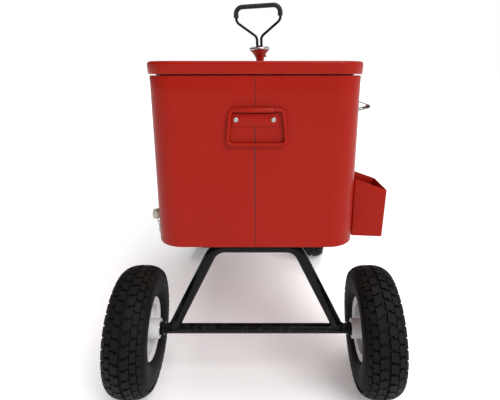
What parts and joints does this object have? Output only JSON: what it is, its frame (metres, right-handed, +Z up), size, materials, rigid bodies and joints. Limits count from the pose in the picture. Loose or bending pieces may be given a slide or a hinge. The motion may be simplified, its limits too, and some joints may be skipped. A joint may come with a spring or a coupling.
{
  "type": "cooler wagon",
  "caption": "Insulated steel patio cooler with hinged lid on a steered wagon gear with air tyres, a tilting pull tongue, end handles, drain, bottle opener and cap bin.",
  "frame": {"origin": "on the ground under the middle of the overall length and width, wheels down, tongue parked upright", "axes": "+Y towards the tongue, +X towards the bottle opener side, +Z up"},
  "size_m": [0.596, 1.0126, 0.9615],
  "materials": {
    "red_paint": "gloss",
    "black_paint": "gloss",
    "zinc_steel": "satin",
    "chrome_steel": "polished",
    "axle_steel": "satin",
    "tyre_rubber": "matte",
    "seal_rubber": "matte",
    "white_rim_paint": "gloss",
    "white_plastic": "gloss",
    "foam": "matte",
    "ivory_plastic": "satin",
    "black_plastic": "satin",
    "grip_foam": "matte",
    "rust_screw": "satin"
  },
  "bodies": {
    "box": {"shell_left": "red_paint", "shell_right": "red_paint", "bottom_pan": "red_paint", "body_foam": "foam", "inner_liner": "white_plastic", "rim_gasket": "seal_rubber", "drain_spout": "ivory_plastic", "drain_chain": "zinc_steel", "chain_anchor": "zinc_steel", "bottle_opener": "zinc_steel", "bin_hanger": "red_paint", "wall_screws": "zinc_steel", "hinge_body_leaves": "zinc_steel", "hinge_pins": "axle_steel", "handle_straps": "red_paint", "handle_rivets": "zinc_steel", "deck_rails": "black_paint", "deck_bolts": "zinc_steel", "rear_frame": "black_paint", "rear_axle_tube": "black_paint", "rear_axle": "axle_steel", "rear_axle_hardware": "axle_steel", "turntable_plate": "black_paint", "thrust_washer": "black_plastic", "kingpin": "zinc_steel", "kingpin_nut": "zinc_steel"},
    "lid": {"lid_shell": "red_paint", "lid_foam": "foam", "lid_liner": "white_plastic", "hinge_lid_leaves": "zinc_steel", "lid_screws": "zinc_steel"},
    "drain_plug": {"drain_cap": "ivory_plastic"},
    "bin": {"catch_bin": "red_paint"},
    "rear_handle": {"rear_bail": "red_paint"},
    "front_handle": {"front_bail": "red_paint"},
    "front_gear": {"steering_plate": "black_paint", "front_frame": "black_paint", "front_axle_tube": "black_paint", "front_axle": "axle_steel", "front_axle_hardware": "axle_steel", "drawbar": "black_paint", "tongue_pin": "zinc_steel"},
    "tongue": {"tongue_tube": "red_paint", "tongue_flare": "red_paint", "flare_cap": "chrome_steel", "tongue_screw": "rust_screw", "handle_loop": "black_paint", "handle_grip": "grip_foam"},
    "rear_left_wheel": {"rear_left_tyre": "tyre_rubber", "rear_left_rim": "white_rim_paint", "rear_left_bearings": "zinc_steel"},
    "rear_right_wheel": {"rear_right_tyre": "tyre_rubber", "rear_right_rim": "white_rim_paint", "rear_right_bearings": "zinc_steel"},
    "front_left_wheel": {"front_left_tyre": "tyre_rubber", "front_left_rim": "white_rim_paint", "front_left_bearings": "zinc_steel"},
    "front_right_wheel": {"front_right_tyre": "tyre_rubber", "front_right_rim": "white_rim_paint", "front_right_bearings": "zinc_steel"}
  },
  "joints": [
    {"name": "lid_hinge", "type": "hinge", "parent": "box", "child": "lid", "pos_m": [-0.2265, -0.0264, 0.6799], "axis": [0, -1, 0], "range_deg": [0, 95]},
    {"name": "rear_handle_swing", "type": "hinge", "parent": "box", "child": "rear_handle", "pos_m": [0, -0.43027, 0.612], "axis": [-1, 0, 0], "range_deg": [0, 80]},
    {"name": "front_handle_swing", "type": "hinge", "parent": "box", "child": "front_handle", "pos_m": [0, 0.37746, 0.612], "axis": [1, 0, 0], "range_deg": [0, 80]},
    {"name": "drain_cap_turn", "type": "hinge", "parent": "box", "child": "drain_plug", "pos_m": [-0.20526, -0.3584, 0.381], "axis": [-0.9992, 0, -0.0394], "range_deg": [0, 720]},
    {"name": "bin_lift", "type": "slide", "parent": "box", "child": "bin", "axis": [0.0394, 0, 0.9992], "range_m": [0, 0.072]},
    {"name": "steering", "type": "hinge", "parent": "box", "child": "front_gear", "pos_m": [0, 0.327, 0.3], "axis": [0, 0, 1], "range_deg": [-25, 45]},
    {"name": "tongue_tilt", "type": "hinge", "parent": "front_gear", "child": "tongue", "pos_m": [0.02865, 0.48949, 0.131], "axis": [-0.9848, 0.1736, 0], "range_deg": [0, 95]},
    {"name": "rear_left_spin", "type": "hinge", "parent": "box", "child": "rear_left_wheel", "pos_m": [-0.254, -0.375, 0.13], "axis": [1, 0, 0], "continuous": true},
    {"name": "rear_right_spin", "type": "hinge", "parent": "box", "child": "rear_right_wheel", "pos_m": [0.254, -0.375, 0.13], "axis": [1, 0, 0], "continuous": true},
    {"name": "front_left_spin", "type": "hinge", "parent": "front_gear", "child": "front_left_wheel", "pos_m": [-0.20189, 0.3626, 0.13], "axis": [0.9848, -0.1736, 0], "continuous": true},
    {"name": "front_right_spin", "type": "hinge", "parent": "front_gear", "child": "front_right_wheel", "pos_m": [0.20189, 0.2914, 0.13], "axis": [0.9848, -0.1736, 0], "continuous": true}
  ]
}
